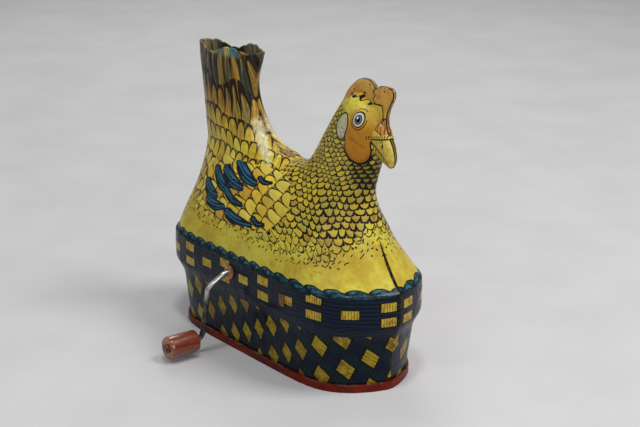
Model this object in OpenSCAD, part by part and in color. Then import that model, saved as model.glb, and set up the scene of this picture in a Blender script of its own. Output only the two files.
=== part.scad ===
// Wind up tin toy: pressed tin hen on a basket, turned by a wire hand crank.
// Frame: X forward (beak), Y to the hen's left, Z up, Z = 0 is the lip that stands on the table.

/* [Sheet metal] */
// Thickness of the two pressed halves
sheet_t = 0.5; // [0.4:0.05:0.8]
// Width of the basket at its belt, outside
belt_w = 55.8; // [50:0.2:60]
// Gap left between the two halves along the seam
seam_gap = 0.12; // [0.08:0.02:0.3]
// Height of the painted lip of the base pan
lip_h = 3.2; // [2.8:0.1:4]

/* [Crank] */
// Diameter of the steel wire
wire_d = 2.3; // [2:0.1:2.6]
// Distance from the shaft to the grip
arm_l = 30; // [24:0.5:30]
// Angle at which the arm hangs, from straight down
arm_angle = 12.6; // [-180:0.2:180]
// Diameter of the turned wooden grip
grip_d = 9.6; // [8:0.1:9.8]
// Length of the grip
grip_l = 13.6; // [12:0.2:16.4]

/* [Mechanism] */
// Diameter of the wooden eggs that the wheel carries
egg_d = 12.7; // [11:0.1:12.8]
// Number of egg pockets round the wheel
pockets = 4; // [3:1:4]
// Number of teeth on the cackle wheel
teeth = 8; // [6:1:10]
// Running clearance, on the radius, of shaft, grip and clapper
run = 0.05; // [0.02:0.01:0.09]

/* [Hidden] */
$fn = 64;

// shaft centre
sx = -4.8;
sz = 35.5;
// height of the saddle between tail and neck, and its place along the back
zs = 80.6;
xs = 3.5;
// underside of the pressed halves, resting on the pan
z0 = 0.8;
wr = wire_d/2;
k_w = belt_w/55.8;

// smooth curve through hand-placed knots [t, value]
function at(K, t) = let(n = len(K),
    i = max(0, min(n - 2, len([for (k = K) if (k[0] <= t) 1]) - 1)),
    u = (min(max(t, K[0][0]), K[n-1][0]) - K[i][0]) / (K[i+1][0] - K[i][0]),
    h = K[i+1][0] - K[i][0], a = max(0, i - 1), b = min(n - 1, i + 2),
    m0 = h*(K[i+1][1] - K[a][1])/(K[i+1][0] - K[a][0]),
    m1 = h*(K[b][1] - K[i][1])/(K[b][0] - K[i][0]))
  (2*u*u*u - 3*u*u + 1)*K[i][1] + (u*u*u - 2*u*u + u)*m0
  + (3*u*u - 2*u*u*u)*K[i+1][1] + (u*u*u - u*u)*m1;
function lim(v, a, b) = min(max(v, a), b);
function mix(a, b, t) = a + (b - a)*t;
function ease(t) = let(c = lim(t, 0, 1)) c*c*(3 - 2*c);

// side profile by height: front, back, front of the tail, back of the neck
front = [[0, 62.5], [21, 65.5], [24, 66.6], [27.5, 68.4], [29, 68.8], [41, 68.6], [42, 67.6],
  [47.5, 63], [55.5, 57.8], [62, 54.6], [68, 52.2], [75, 50.8], [82, 51.6], [88, 53.4], [94, 55],
  [100, 56.2], [106, 56.2], [112, 52.5], [116, 46]];
rear = [[0, -59], [21, -61.8], [24, -63], [27.5, -65.2], [29, -66], [41, -66], [42, -65],
  [50, -62.6], [58, -60], [66, -58], [74, -57], [82, -57], [92, -57.8], [100, -59], [108, -60.8],
  [114, -62.4], [119, -63]];
tail_front = [[80.6, 3.5], [81, 0], [82, -5], [84, -10], [87, -14.5], [91, -18.5], [95, -21.5],
  [101, -24], [107, -24.5], [112, -23], [118, -20.5], [122, -19.5], [125, -21.5]];
neck_back = [[80.6, 3.5], [81, 8], [82, 12], [85, 15.5], [90, 19.5], [95, 23], [101, 27.5],
  [107, 32], [112, 36], [116, 41]];
// half widths by height: basket, neck, tail
half_w = [[0, 23.8], [21, 25.4], [24, 26], [27.5, 27.4], [29, 27.9], [41, 27.9], [42, 26.9]];
neck_w = [[42, 10], [58, 13], [68, 10.5], [76, 8.8], [84, 8.4], [92, 8.8], [100, 9.2], [116, 9.2]];
tail_w = [[42, 11], [60, 11], [75, 10], [85, 9.2], [100, 8.2], [110, 7.5], [119, 7], [125, 7]];

function oval(x, a, b, w) = let(r = min(1, abs(x - (a + b)/2)/max((b - a)/2, 0.1)))
  w*sqrt(1 - r*r);
// half width of the hen at any point of the seam plane
function W(x, z) = let(
    xa = at(rear, z), xb = at(front, z), s = lim((z - 42)/20, 0, 1),
    u = lim(2*(x - xa)/(xb - xa) - 1, -1, 1),
    g = lim((z - 42)/(zs - 42), 0, 1),
    // domed at the saddle, sloping shoulders under the neck and the tail
    h = 0.4 + (x > xs ? 0.45*ease((x - xs - 2)/26) : 0.35*ease((xs - 6 - x)/36)),
    body = k_w*at(half_w, min(z, 42))*mix(sqrt(max(0, 1 - pow(g, 2.4))), 1 - pow(g, 1.3), h)
      *pow(max(0, 1 - pow(abs(u), 7 - 4.4*s)), 1/(1.2 + 0.8*s)),
    crown = sqrt(max(0.004, 1 - pow(max(0, (z - 104)/12.3), 2))),
    neck = s*crown*oval(x, z > zs ? at(neck_back, z) : xs, xb, at(neck_w, z)),
    tail = s*oval(x, xa, z > zs ? at(tail_front, z) : xs, at(tail_w, z)))
  pow(pow(body, 2.6) + pow(neck, 2.6) + pow(tail, 2.6), 1/2.6);

// grid of the pressed half: body rows, then the tail and the neck on the two sides of the saddle
rows = [z0, 8, 15, 21, 24, 27.5, 29, 35, 41, 42, 44, 47.5, 52, 57, 62, 67, 72, 76, 79, zs];
k = 16;
nr = len(rows);
nc = 2*k + 1;
nt = 11;
nn = 14;
function q1(i) = 1 - cos(90*i/k);
function q2(i) = (1 - cos(180*i/k))/2;
function body_pt(z, c) = let(b = lim((z - 60)/20, 0, 1), xa = at(rear, z), xb = at(front, z),
    i = c <= k ? c : 2*k - c, f = mix(q1(i), q2(i), b),
    x = c <= k ? mix(xa, xs, f) : mix(xb, xs, f))
  [x, -W(x, z), z];
// feather tips standing up at the back and the front of the open tail
tail_rim = [[0, 119.8], [0.1, 120.1], [0.18, 119.5], [0.27, 118.3], [0.36, 118], [0.44, 118.5],
            [0.52, 120], [0.61, 121.3], [0.7, 121.5], [0.8, 120.6], [0.9, 120.1], [1, 120.9]];
function tail_top(f) = at(tail_rim, f);
function tail_pt(a, c) = let(f = q2(c), z = mix(zs, tail_top(f), a/nt),
    x = mix(at(rear, z), at(tail_front, z), f)) [x, -W(x, z), z];
function neck_pt(a, c) = let(z = zs + (116.2 - zs)*(1 - pow(1 - a/nn, 1.6)),
    x = mix(at(neck_back, z), at(front, z), q2(c))) [x, -W(x, z), z];
function bi(r, c) = r*nc + c;
function ti(a, c) = a == 0 ? bi(nr - 1, c) : nr*nc + (a - 1)*(k + 1) + c;
function ni(a, c) = a == 0 ? bi(nr - 1, k + c) : nr*nc + nt*(k + 1) + (a - 1)*(k + 1) + c;
skin = concat(
  [for (r = [0:nr-1], c = [0:nc-1]) body_pt(rows[r], c)],
  [for (a = [1:nt], c = [0:k]) tail_pt(a, c)],
  [for (a = [1:nn], c = [0:k]) neck_pt(a, c)]);
function unit(v) = v/max(norm(v), 1e-6);
// outward direction from the four neighbours; edge points stay in the seam plane
function out(l, r, d, u, edge) = let(n = cross(skin[r] - skin[l], skin[u] - skin[d]))
  unit(edge ? [n[0], 0, n[2]] : n);
function inner(i, n) = let(p = skin[i], y = abs(p[1]))
  [p[0] - sheet_t*n[0], -max(y - sheet_t*abs(n[1]), 0.12*y), p[2] - sheet_t*n[2]];
lining = concat(
  [for (r = [0:nr-1], c = [0:nc-1]) let(i = bi(r, c), saddle = r == nr - 1 && c == k,
      n = saddle ? [0, 0, 1] : out(bi(r, max(c-1, 0)), bi(r, min(c+1, nc-1)), bi(max(r-1, 0), c),
        r < nr - 1 ? bi(r+1, c) : c < k ? ti(1, c) : ni(1, c - k), c == 0 || c == nc - 1),
      p = inner(i, n)) [p[0], p[1], r == 0 ? z0 : p[2]]],
  [for (a = [1:nt], c = [0:k]) let(i = ti(a, c), n = out(ti(a, max(c-1, 0)), ti(a, min(c+1, k)),
      ti(a-1, c), ti(min(a+1, nt), c), c == 0 || c == k), p = inner(i, n))
      [p[0], p[1], a == nt ? skin[i][2] : p[2]]],
  [for (a = [1:nn], c = [0:k]) let(i = ni(a, c), n = a == nn ? [0, 0, 1]
      : out(ni(a, max(c-1, 0)), ni(a, min(c+1, k)), ni(a-1, c), ni(a+1, c), c == 0 || c == k))
      inner(i, n)]);
function quad(a, b, c, d) = [[a, b, c], [a, c, d]];
cells = concat(
  [for (r = [0:nr-2], c = [0:nc-2]) [bi(r, c), bi(r+1, c), bi(r+1, c+1), bi(r, c+1)]],
  [for (a = [0:nt-1], c = [0:k-1]) [ti(a, c), ti(a+1, c), ti(a+1, c+1), ti(a, c+1)]],
  [for (a = [0:nn-1], c = [0:k-1]) [ni(a, c), ni(a+1, c), ni(a+1, c+1), ni(a, c+1)]]);
m = len(skin);
rim = concat([for (c = [0:nc-1]) bi(0, c)], [for (r = [1:nr-1]) bi(r, nc-1)],
  [for (a = [1:nn]) ni(a, k)], [for (c = [k-1:-1:0]) ni(nn, c)], [for (a = [nn-1:-1:0]) ni(a, 0)],
  [for (a = [1:nt]) ti(a, k)], [for (c = [k-1:-1:0]) ti(nt, c)], [for (a = [nt-1:-1:1]) ti(a, 0)],
  [for (r = [nr-1:-1:1]) bi(r, 0)]);
faces = concat(
  [for (q = cells, f = quad(q[0], q[1], q[2], q[3])) f],
  [for (q = cells, f = quad(q[0], q[3], q[2], q[1])) f + [m, m, m]],
  [for (i = [0:len(rim)-1]) let(a = rim[i], b = rim[(i+1) % len(rim)])
    for (f = quad(a, b, b + m, a + m)) f]);

// comb, drawn flat on the seam, and the beak, a hooked wedge
comb_knots = [[30.6, 107], [33.7, 111.8], [36.6, 116.2], [41.2, 120.2], [45.3, 121.8], [49, 121.6],
  [51.3, 120.2], [52.5, 118.9], [54.6, 120.3], [58.8, 120.8], [61.8, 119.7], [62.4, 117.4],
  [61, 114.4], [59.6, 111.6], [58.7, 108], [59.3, 104.6], [60, 102.4], [55, 101], [50, 107],
  [41, 111], [34, 106.4]];
// closed smooth outline, three points to a knot
function ring(K) = let(n = len(K)) [for (i = [0:n-1], t = [0, 1/3, 2/3])
  let(a = K[(i+n-1) % n], b = K[i], c = K[(i+1) % n], d = K[(i+2) % n])
  b + (c - a)*t/2 + (2*a - 5*b + 4*c - d)*t*t/2 + (3*b - 3*c + d - a)*t*t*t/2];
comb = ring(comb_knots);
beak_top = [[0, 55, 107.5], [0.2, 58.4, 105.2], [0.4, 60.6, 101.8], [0.6, 62.8, 97.8],
  [0.8, 63.7, 93.6], [1, 62.6, 90.3]];
beak_low = [[0, 50.5, 96], [0.3, 53.5, 94.1], [0.6, 56.6, 91.9], [1, 60.9, 89.7]];
function pick(K, j) = [for (p = K) [p[0], p[j]]];
nb = 10;
ns = 8;
beak_pts = concat(
  [for (i = [0:nb], j = [0:ns]) let(t = i/nb, a = 180*j/ns, v = (1 - cos(a))/2,
      w = 0.7 + 3.9*pow(1 - t, 0.8))
    [mix(at(pick(beak_low, 1), t), at(pick(beak_top, 1), t), v), -0.16 - w*sin(a),
     mix(at(pick(beak_low, 2), t), at(pick(beak_top, 2), t), v)]],
  [[54, -0.16, 101], [61.9, -0.16, 89.8]]);
function ki(i, j) = i*(ns + 1) + j;
beak_faces = concat(
  [for (i = [0:nb-1], j = [0:ns-1]) for (f = quad(ki(i, j), ki(i, j+1), ki(i+1, j+1), ki(i+1, j))) f],
  [for (j = [0:ns-1]) [ki(0, j+1), ki(0, j), (nb+1)*(ns+1)]],
  [for (j = [0:ns-1]) [ki(nb, j), ki(nb, j+1), (nb+1)*(ns+1) + 1]],
  [concat([for (i = [0:nb]) ki(i, 0)], [(nb+1)*(ns+1) + 1], [for (i = [nb:-1:0]) ki(i, ns)],
    [(nb+1)*(ns+1)])]);

module flat(pts, y0, y1) translate([0, y1, 0]) rotate([90, 0, 0]) linear_extrude(y1 - y0)
  polygon(pts);
module rod(x, z, y0, y1, r) translate([x, y0, z]) rotate([-90, 0, 0]) cylinder(h = y1 - y0, r = r);
module tube(x, z, y0, y1, r, b) difference() {
  rod(x, z, y0, y1, r);
  rod(x, z, y0 - 1, y1 + 1, b);
}
// wire drawn step by step along +Z: a straight run, then a bend towards +X (or -X)
module run_on(l) {
  translate([0, 0, -0.1]) cylinder(h = l + 0.2, r = wr);
  translate([0, 0, l]) children();
}
module bend(r, a) rotate([0, 0, a > 0 ? 0 : 180]) {
  b = abs(a);
  sphere(r = wr + 0.05);
  translate([r - r*cos(b), 0, r*sin(b)]) sphere(r = wr + 0.05);
  translate([r, 0, 0]) rotate([90, 0, 180]) rotate_extrude(angle = b) translate([r, 0]) circle(r = wr);
  translate([r - r*cos(b), 0, r*sin(b)]) rotate([0, b, 0]) rotate([0, 0, a > 0 ? 0 : 180]) children();
}

// outer face of the belt where the shaft comes through
ye = W(sx, sz) + seam_gap/2;
module near_half() resize([0, 0, 0]) difference() {
  union() {
    translate([0, -seam_gap/2, 0]) polyhedron(points = concat(skin, lining), faces = faces);
    flat(comb, -1, -0.11);
    polyhedron(points = beak_pts, faces = beak_faces);
  }
  // crank bearing, slot of the bridge tab, half of the egg doorway
  rod(sx, sz, -35, -20, 1.8);
  translate([29.6, -35, 32.1]) cube([1.8, 15, 3.8]);
  translate([-75, -8.5, lip_h + 0.2]) cube([25, 20, 15]);
}
module right_shell() color("goldenrod") near_half();
module left_shell() color("gold") mirror([0, 1, 0]) near_half();

// folded tabs that hold the two halves together
module seam_tab(x, z, tilt, l) translate([x, 0, z]) rotate([0, tilt, 0])
  translate([-l/2, -1.7, -0.3]) cube([l, 3.4, 0.6]);
module seam_tabs() color("peru") {
  seam_tab(-2.5, 81.5, 12, 7);
  seam_tab(55.9, 57.9, 60, 5);
  seam_tab(-57.1, 84, -90, 5);
}

// base pan: floor with a standing lip outside the skirt
function plan(d, z) = [for (s = [-1, 1], i = s < 0 ? [0:40] : [40:-1:0])
  let(x = mix(at(rear, z), at(front, z), (1 - cos(180*i/40))/2))
  [x + d*(x > 0 ? 1 : -1)*pow(abs(x)/64, 6), s*(W(x, z) + d)]];
module base_pan() color("firebrick") difference() {
  linear_extrude(lip_h) polygon(plan(1, lip_h));
  translate([0, 0, z0]) linear_extrude(5) polygon(plan(0.2, lip_h));
}
// tongues of the pan standing against the inside of the skirt
module base_tabs() color("darkgoldenrod") for (x = [-38, 0, 38], s = [-1, 1])
  translate([x - 2.2, s*(W(x, z0) - sheet_t - 0.75) - 0.3, z0]) cube([4.4, 0.6, 5.2]);

module at_shaft() translate([sx, 0, sz]) rotate([0, arm_angle, 0]) children();
gy = -41.6; // inner end of the grip
lean = 34; // slope of the wire just outside the shell
drop = 4*(1 - cos(lean)) + 5.5*sin(lean) + 4*cos(lean);
module crank_wire() color("silver") difference() {
  at_shaft() translate([0, 30.4, 0]) rotate([90, 0, 0]) rotate([0, 0, -90])
    run_on(60) bend(4, lean) run_on(5.5) bend(4, 90 - lean) run_on(arm_l - 3 - drop)
    bend(3, -90) run_on(grip_l + 1.9);
  at_shaft() translate([0, -5, -12]) cylinder(h = 24, r = 0.62);
}
module crank_grip() color("saddlebrown") at_shaft() translate([0, gy, -arm_l])
  rotate([90, 0, 0]) rotate_extrude() polygon([[wr + run, 0], [grip_d/2 - 0.7, 0],
    [grip_d/2 - 0.2, 0.25], [grip_d/2, 0.9], [grip_d/2, grip_l - 0.9],
    [grip_d/2 - 0.2, grip_l - 0.25], [grip_d/2 - 0.7, grip_l], [wr + run, grip_l]]);
module grip_washer() color("dimgray") at_shaft()
  tube(0, -arm_l, gy - grip_l - 0.9, gy - grip_l - 0.3, 1.9, wr);

module eyelet() {
  tube(sx, sz, ye - sheet_t - 0.78, ye + 0.6, 1.72, wr + run);
  tube(sx, sz, ye + 0.06, ye + 0.6, 2.9, wr + run);
  tube(sx, sz, ye - sheet_t - 0.78, ye - sheet_t - 0.18, 2.9, wr + run);
}
module eyelet_near() color("chocolate") mirror([0, 1, 0]) eyelet();
module eyelet_far() color("chocolate") eyelet();
module shaft_clip() color("gray") tube(sx, sz, ye + 0.95, ye + 1.55, 2.6, wr);

// wheel that takes one egg at a time from the chute to the ramp
module egg_wheel() color("burlywood") difference() {
  tube(sx, sz, -8, 8, 15, wr + run);
  at_shaft() for (i = [0:pockets-1]) rotate([0, 45 + 360/pockets*i, 0])
    rod(0, 14.6, -9, 9, egg_d/2 + 0.6);
  at_shaft() translate([0, -5, -10]) cylinder(h = 20, r = 0.62);
}
module wheel_discs() color("lightgray") {
  tube(sx, sz, -8.6, -8, 16, wr + run);
  tube(sx, sz, 8, 8.6, 16, wr + run);
}
module wheel_pin() color("dimgray") at_shaft() translate([0, -5, -6.6]) cylinder(h = 13.2, r = 0.62);
module spacer_near() color("khaki") tube(sx, sz, -26.4, -8.6, 2.6, wr + run);
module spacer_mid() color("khaki") tube(sx, sz, 8.6, 13.5, 2.6, wr + run);
module spacer_far() color("khaki") tube(sx, sz, 15.5, 26.4, 2.6, wr + run);

// toothed wheel and the sprung clapper that it flicks
module cackle_wheel() color("lightsteelblue") difference() {
  translate([sx, 15.5, sz]) rotate([90, 0, 0]) linear_extrude(2)
    polygon([for (i = [0:teeth-1], j = [0:1]) let(a = 360/teeth*(i + 0.06*j), r = j == 0 ? 6.2 : 8.5)
      r*[cos(a), sin(a)]]);
  rod(sx, sz, 10, 20, wr + run);
}
px = 26.5;
module clapper() color("steelblue") {
  difference() {
    union() {
      tube(px, sz, 13.2, 15.8, 1.7, 0.8 + run);
      translate([4.1, 13.4, sz - 0.25]) cube([px - 5.4, 2.2, 0.5]);
    }
    rod(px, sz, 10, 20, 0.8 + run);
  }
}
module clapper_pin() color("dimgray") rod(px, sz, 11.4, 17.6, 0.8);
module clapper_spring() color("gray") translate([29.6, 14, sz - 7]) rotate([0, -90, 0])
  linear_extrude(0.4) square([4, 1.2], center = true);
// plate across the basket, with two ears for the pin and a tab through each side
module bridge_plate() color("tan") difference() {
  union() {
    translate([30, -26.9, 29.5]) cube([1, 53.8, 9.5]);
    translate([30, -ye - 0.03, 32.3]) cube([1, 2*ye + 0.06, 3.4]);
    for (y = [11.8, 16.2]) translate([px - 2, y, sz - 2]) cube([31 - px + 2, 1, 4]);
    translate([30, -12, z0]) cube([1, 24, 30]);
    translate([30, -12, z0]) cube([8, 24, 0.8]);
  }
  rod(px, sz, 8, 20, 0.8);
}
module bridge_tabs() color("chocolate") for (s = [-1, 1])
  translate([29.2, s*(ye + 0.33) - 0.3, 31.6]) cube([2.6, 0.6, 4.8]);

// trough from the open tail to the wheel, its posts, and the ramp to the doorway
module egg_chute() color("silver") translate([-45, 0, 76]) rotate([0, 40, 0]) {
  translate([0, -7.6, 0]) cube([33, 15.2, 0.6]);
  for (y = [-7.6, 7]) translate([0, y, 0.6]) cube([33, 0.6, 9]);
}
module chute_posts() color("darkgray") for (s = [-1, 1]) {
  translate([-40, s > 0 ? 7.6 : -8.4, z0]) cube([6, 0.8, 70]);
  translate([-40, s > 0 ? 8.4 : -12.4, z0]) cube([6, 4, 0.8]);
}
module egg_ramp() color("silver") difference() {
  flat([[12, z0], [12, 20], [10, 20], [-55.6, 9.2], [-55.6, z0]], -7.6, 7.6);
  flat([[11.2, 15.4], [11.2, 40], [-70, 40], [-70, 2.4], [-60, 4]], -6.9, 6.9);
  flat([[11.2, 14.8], [11.2, -5], [-70, -5], [-70, 1.8], [-60, 3.4]], -6.9, 6.9);
}

right_shell();
left_shell();
seam_tabs();
base_pan();
base_tabs();
crank_wire();
crank_grip();
grip_washer();
eyelet_near();
eyelet_far();
shaft_clip();
egg_wheel();
wheel_discs();
wheel_pin();
spacer_near();
spacer_mid();
spacer_far();
cackle_wheel();
clapper();
clapper_pin();
clapper_spring();
bridge_plate();
bridge_tabs();
egg_chute();
chute_posts();
egg_ramp();
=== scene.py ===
import bpy
import numpy as np
from math import sin, cos, radians, pi
from mathutils import Matrix, Vector
from mathutils.geometry import tessellate_polygon


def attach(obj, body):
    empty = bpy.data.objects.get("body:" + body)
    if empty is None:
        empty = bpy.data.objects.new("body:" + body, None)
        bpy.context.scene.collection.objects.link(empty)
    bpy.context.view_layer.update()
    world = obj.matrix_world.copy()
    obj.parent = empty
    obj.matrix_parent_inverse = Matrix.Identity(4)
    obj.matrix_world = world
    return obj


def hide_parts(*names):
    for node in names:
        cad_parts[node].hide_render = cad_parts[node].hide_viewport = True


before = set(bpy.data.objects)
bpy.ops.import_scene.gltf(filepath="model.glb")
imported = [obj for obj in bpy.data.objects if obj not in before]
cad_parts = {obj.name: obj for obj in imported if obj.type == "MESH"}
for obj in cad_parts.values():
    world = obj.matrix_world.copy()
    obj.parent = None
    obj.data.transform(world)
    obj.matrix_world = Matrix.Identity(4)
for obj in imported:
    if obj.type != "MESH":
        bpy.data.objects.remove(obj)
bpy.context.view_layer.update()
MM = 0.001
bpy.context.scene.view_settings.view_transform = "Standard"


# ---- camera, lights, floor
def add_object(name, data):
    o = bpy.data.objects.new(name, data)
    bpy.context.scene.collection.objects.link(o)
    return o


def camera():
    az, el, roll = radians(51.0), radians(18.0), radians(0.456)
    back = Vector((sin(az) * cos(el), -cos(az) * cos(el), sin(el)))
    right = (-back).cross(Vector((0, 0, 1))).normalized()
    up = right.cross(-back)
    right, up = right * cos(roll) + up * sin(roll), up * cos(roll) - right * sin(roll)
    cam = add_object("camera", bpy.data.cameras.new("camera"))
    cam.data.lens, cam.data.sensor_width = 80.7, 36
    cam.data.clip_start, cam.data.clip_end = 0.02, 20
    m = Matrix((right, up, back)).transposed().to_4x4()
    m.translation = Vector((-0.0132, 0.026, 0.0477)) + back * 0.6234
    cam.matrix_world = m
    bpy.context.scene.camera = cam


def area(name, place, size, power, tint):
    """Soft rectangular light aimed at the toy's middle."""
    light = bpy.data.lights.new(name, "AREA")
    light.shape, light.size, light.size_y = "RECTANGLE", size[0], size[1]
    light.energy, light.color = power, tint
    o = add_object(name, light)
    o.location = place
    o.rotation_euler = (Vector((0, 0, 0.05)) - Vector(place)).to_track_quat("-Z", "Y").to_euler()


camera()
area("key", (0.5, 0.35, 0.95), (0.4, 0.35), 6.6, (1, 0.97, 0.93))
area("top", (0.2, -0.16, 1.0), (0.13, 0.13), 2.6, (1, 0.98, 0.95))
area("fill", (0.1, -0.95, 0.7), (0.9, 0.7), 1.9, (0.97, 0.98, 1))
area("side", (0.9, -0.25, 0.45), (0.6, 0.5), 2.2, (1, 1, 1))
area("back_rim", (-0.7, 0.5, 0.7), (0.5, 0.4), 3.0, (1, 0.98, 0.95))
world = bpy.data.worlds.new("studio")
bpy.context.scene.world = world
world.use_nodes = True
sky = world.node_tree.nodes["Background"].inputs
sky["Color"].default_value = (0.6, 0.62, 0.65, 1)
sky["Strength"].default_value = 0.36


# ---- node helpers
def lin(*rgb):
    """Scene colour of a screen colour, each part from 0 to 255."""
    return tuple((c / 255 / 12.92 if c <= 10 else ((c / 255 + 0.055) / 1.055) ** 2.4) for c in rgb) + (1,)


class Tree:
    """A material's node tree. P is the place on the object in millimetres, and x, y and z its parts."""

    def __init__(self, name):
        self.mat = bpy.data.materials.new(name)
        self.mat.use_nodes = True
        self.t = self.mat.node_tree
        self.t.nodes.clear()
        place = self.node("VectorMath", operation="SCALE")
        self.t.links.new(self.node("TexCoord").outputs["Object"], place.inputs[0])
        place.inputs["Scale"].default_value = 1000
        self.P = Val(self, place.outputs[0])
        self.x, self.y, self.z = self.xyz(self.P)

    def node(self, kind, **props):
        n = self.t.nodes.new("ShaderNode" + kind)
        for k, v in props.items():
            setattr(n, k, v)
        return n

    def put(self, socket, value):
        """Link a value to a socket, or set a number or a screen colour."""
        if isinstance(value, Val):
            self.t.links.new(value.s, socket)
        else:
            socket.default_value = lin(*value) if isinstance(value, tuple) else value

    def math(self, op, *values, clamp=False):
        n = self.node("Math", operation=op, use_clamp=clamp)
        for socket, value in zip(n.inputs, values):
            self.put(socket, value)
        return Val(self, n.outputs[0])

    def attr(self, name):
        return Val(self, self.node("Attribute", attribute_name=name).outputs["Fac"])

    def xyz(self, v):
        n = self.node("SeparateXYZ")
        self.put(n.inputs[0], v)
        return [Val(self, o) for o in n.outputs]

    def vec(self, x, y, z=0.0):
        n = self.node("CombineXYZ")
        for i, v in enumerate((x, y, z)):
            self.put(n.inputs[i], v)
        return Val(self, n.outputs[0])

    def scale(self, v, by):
        n = self.node("VectorMath", operation="MULTIPLY")
        self.put(n.inputs[0], v)
        n.inputs[1].default_value = by
        return Val(self, n.outputs[0])

    def noise(self, v, scale, detail=2.0, rough=0.5):
        n = self.node("TexNoise")
        self.put(n.inputs["Vector"], v)
        n.inputs["Scale"].default_value = scale
        n.inputs["Detail"].default_value = detail
        n.inputs["Roughness"].default_value = rough
        return Val(self, n.outputs["Fac"])

    def grain(self, scale, detail=2.0, rough=0.5):
        """Noise over the whole object."""
        return self.noise(self.P, scale, detail, rough)

    def rnd(self, a, b, c=0.0):
        """Random number of a cell."""
        n = self.node("TexWhiteNoise", noise_dimensions="3D")
        self.put(n.inputs["Vector"], self.vec(a, b, c))
        return Val(self, n.outputs["Value"])

    def mix(self, f, a, b):
        """Colour mix, a where f is 0 and b where it is 1."""
        n = self.node("Mix", data_type="RGBA")
        self.put(n.inputs[0], f)
        self.put(n.inputs[6], a)
        self.put(n.inputs[7], b)
        return Val(self, n.outputs[2])

    def ramp(self, f, *stops):
        """Colour by f, through stops of place and colour from 0 to 1."""
        n = self.node("ValToRGB")
        marks = n.color_ramp.elements
        for place, rgb in stops:
            mark = marks[0] if place == 0 else marks[-1] if place == 1 else marks.new(place)
            mark.color = lin(*rgb)
        self.put(n.inputs[0], f)
        return Val(self, n.outputs[0])

    def finish(self, color, rough, bump, depth, strength, metal=0.0, coat=0.0, coat_rough=0.15, spec=0.5):
        """Close the tree with one shader, whose relief is bump times depth millimetres."""
        p = self.node("BsdfPrincipled")
        self.put(p.inputs["Base Color"], color)
        self.put(p.inputs["Roughness"], rough)
        self.put(p.inputs["Metallic"], metal)
        p.inputs["Coat Weight"].default_value = coat
        p.inputs["Coat Roughness"].default_value = coat_rough
        p.inputs["Specular IOR Level"].default_value = spec
        b = self.node("Bump")
        b.inputs["Strength"].default_value = strength
        b.inputs["Distance"].default_value = depth * MM
        self.put(b.inputs["Height"], bump)
        self.t.links.new(b.outputs[0], p.inputs["Normal"])
        o = self.node("OutputMaterial")
        self.t.links.new(p.outputs[0], o.inputs[0])
        return self.mat


class Val:
    """A socket's value. Its operators and methods each add one math node to the tree."""

    def __init__(self, tree, s):
        self.t, self.s = tree, s

    def clamp(self):
        return self.t.math("ADD", self, 0, clamp=True)

    def sin(self):
        return self.t.math("SINE", self)

    def step(self, a, b, lo=0, hi=1):
        """Smooth step from lo at a to hi at b."""
        n = self.t.node("MapRange", interpolation_type="SMOOTHSTEP")
        for socket, value in zip(n.inputs, (self, a, b, lo, hi)):
            self.t.put(socket, value)
        return Val(self.t, n.outputs[0])


for word, op in {"add": "ADD", "sub": "SUBTRACT", "mul": "MULTIPLY", "truediv": "DIVIDE"}.items():
    setattr(Val, f"__{word}__", lambda v, o, op=op: v.t.math(op, v, o))
    setattr(Val, f"__r{word}__", lambda v, o, op=op: v.t.math(op, o, v))
for word, op in {"__pow__": "POWER", "__lt__": "LESS_THAN", "__gt__": "GREATER_THAN",
                 "min": "MINIMUM", "max": "MAXIMUM", "mod": "FLOORED_MODULO"}.items():
    setattr(Val, word, lambda v, o, op=op: v.t.math(op, v, o))
for word, op in {"abs": "ABSOLUTE", "floor": "FLOOR", "round": "ROUND", "frac": "FRACT",
                 "sqrt": "SQRT"}.items():
    setattr(Val, word, lambda v, op=op: v.t.math(op, v))


# ---- the hen's surface, as in the CAD
# knots are (height, place or half width), and those of the rim are (part of the way forward, height)
front = [[0, 62.5], [21, 65.5], [24, 66.6], [27.5, 68.4], [29, 68.8], [41, 68.6], [42, 67.6],
         [47.5, 63], [55.5, 57.8], [62, 54.6], [68, 52.2], [75, 50.8], [82, 51.6], [88, 53.4],
         [94, 55], [100, 56.2], [106, 56.2], [112, 52.5], [116, 46]]
rear = [[0, -59], [21, -61.8], [24, -63], [27.5, -65.2], [29, -66], [41, -66], [42, -65],
        [50, -62.6], [58, -60], [66, -58], [74, -57], [82, -57], [92, -57.8], [100, -59],
        [108, -60.8], [114, -62.4], [119, -63]]
tail_front = [[80.6, 3.5], [81, 0], [82, -5], [84, -10], [87, -14.5], [91, -18.5], [95, -21.5],
              [101, -24], [107, -24.5], [112, -23], [118, -20.5], [122, -19.5], [125, -21.5]]
neck_back = [[80.6, 3.5], [81, 8], [82, 12], [85, 15.5], [90, 19.5], [95, 23], [101, 27.5],
             [107, 32], [112, 36], [116, 41]]
half_w = [[0, 23.8], [21, 25.4], [24, 26], [27.5, 27.4], [29, 27.9], [41, 27.9], [42, 26.9]]
neck_w = [[42, 10], [58, 13], [68, 10.5], [76, 8.8], [84, 8.4], [92, 8.8], [100, 9.2], [116, 9.2]]
tail_w = [[42, 11], [60, 11], [75, 10], [85, 9.2], [100, 8.2], [110, 7.5], [119, 7], [125, 7]]
tail_rim = [[0, 119.8], [0.1, 120.1], [0.18, 119.5], [0.27, 118.3], [0.36, 118], [0.44, 118.5],
            [0.52, 120], [0.61, 121.3], [0.7, 121.5], [0.8, 120.6], [0.9, 120.1], [1, 120.9]]
SADDLE_X, SADDLE_Z = 3.5, 80.6
FOOT, SHOULDER, CROWN = 0.8, 42, 116.2
SHAFT_X, SHAFT_Z, SHAFT_HOLE = -4.8, 35.5, 2.7
DOOR_REAR, DOOR_HALF, DOOR_LOW, DOOR_HIGH = -50, 8.4, 3.4, 18.4
SHEET = 0.5


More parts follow.
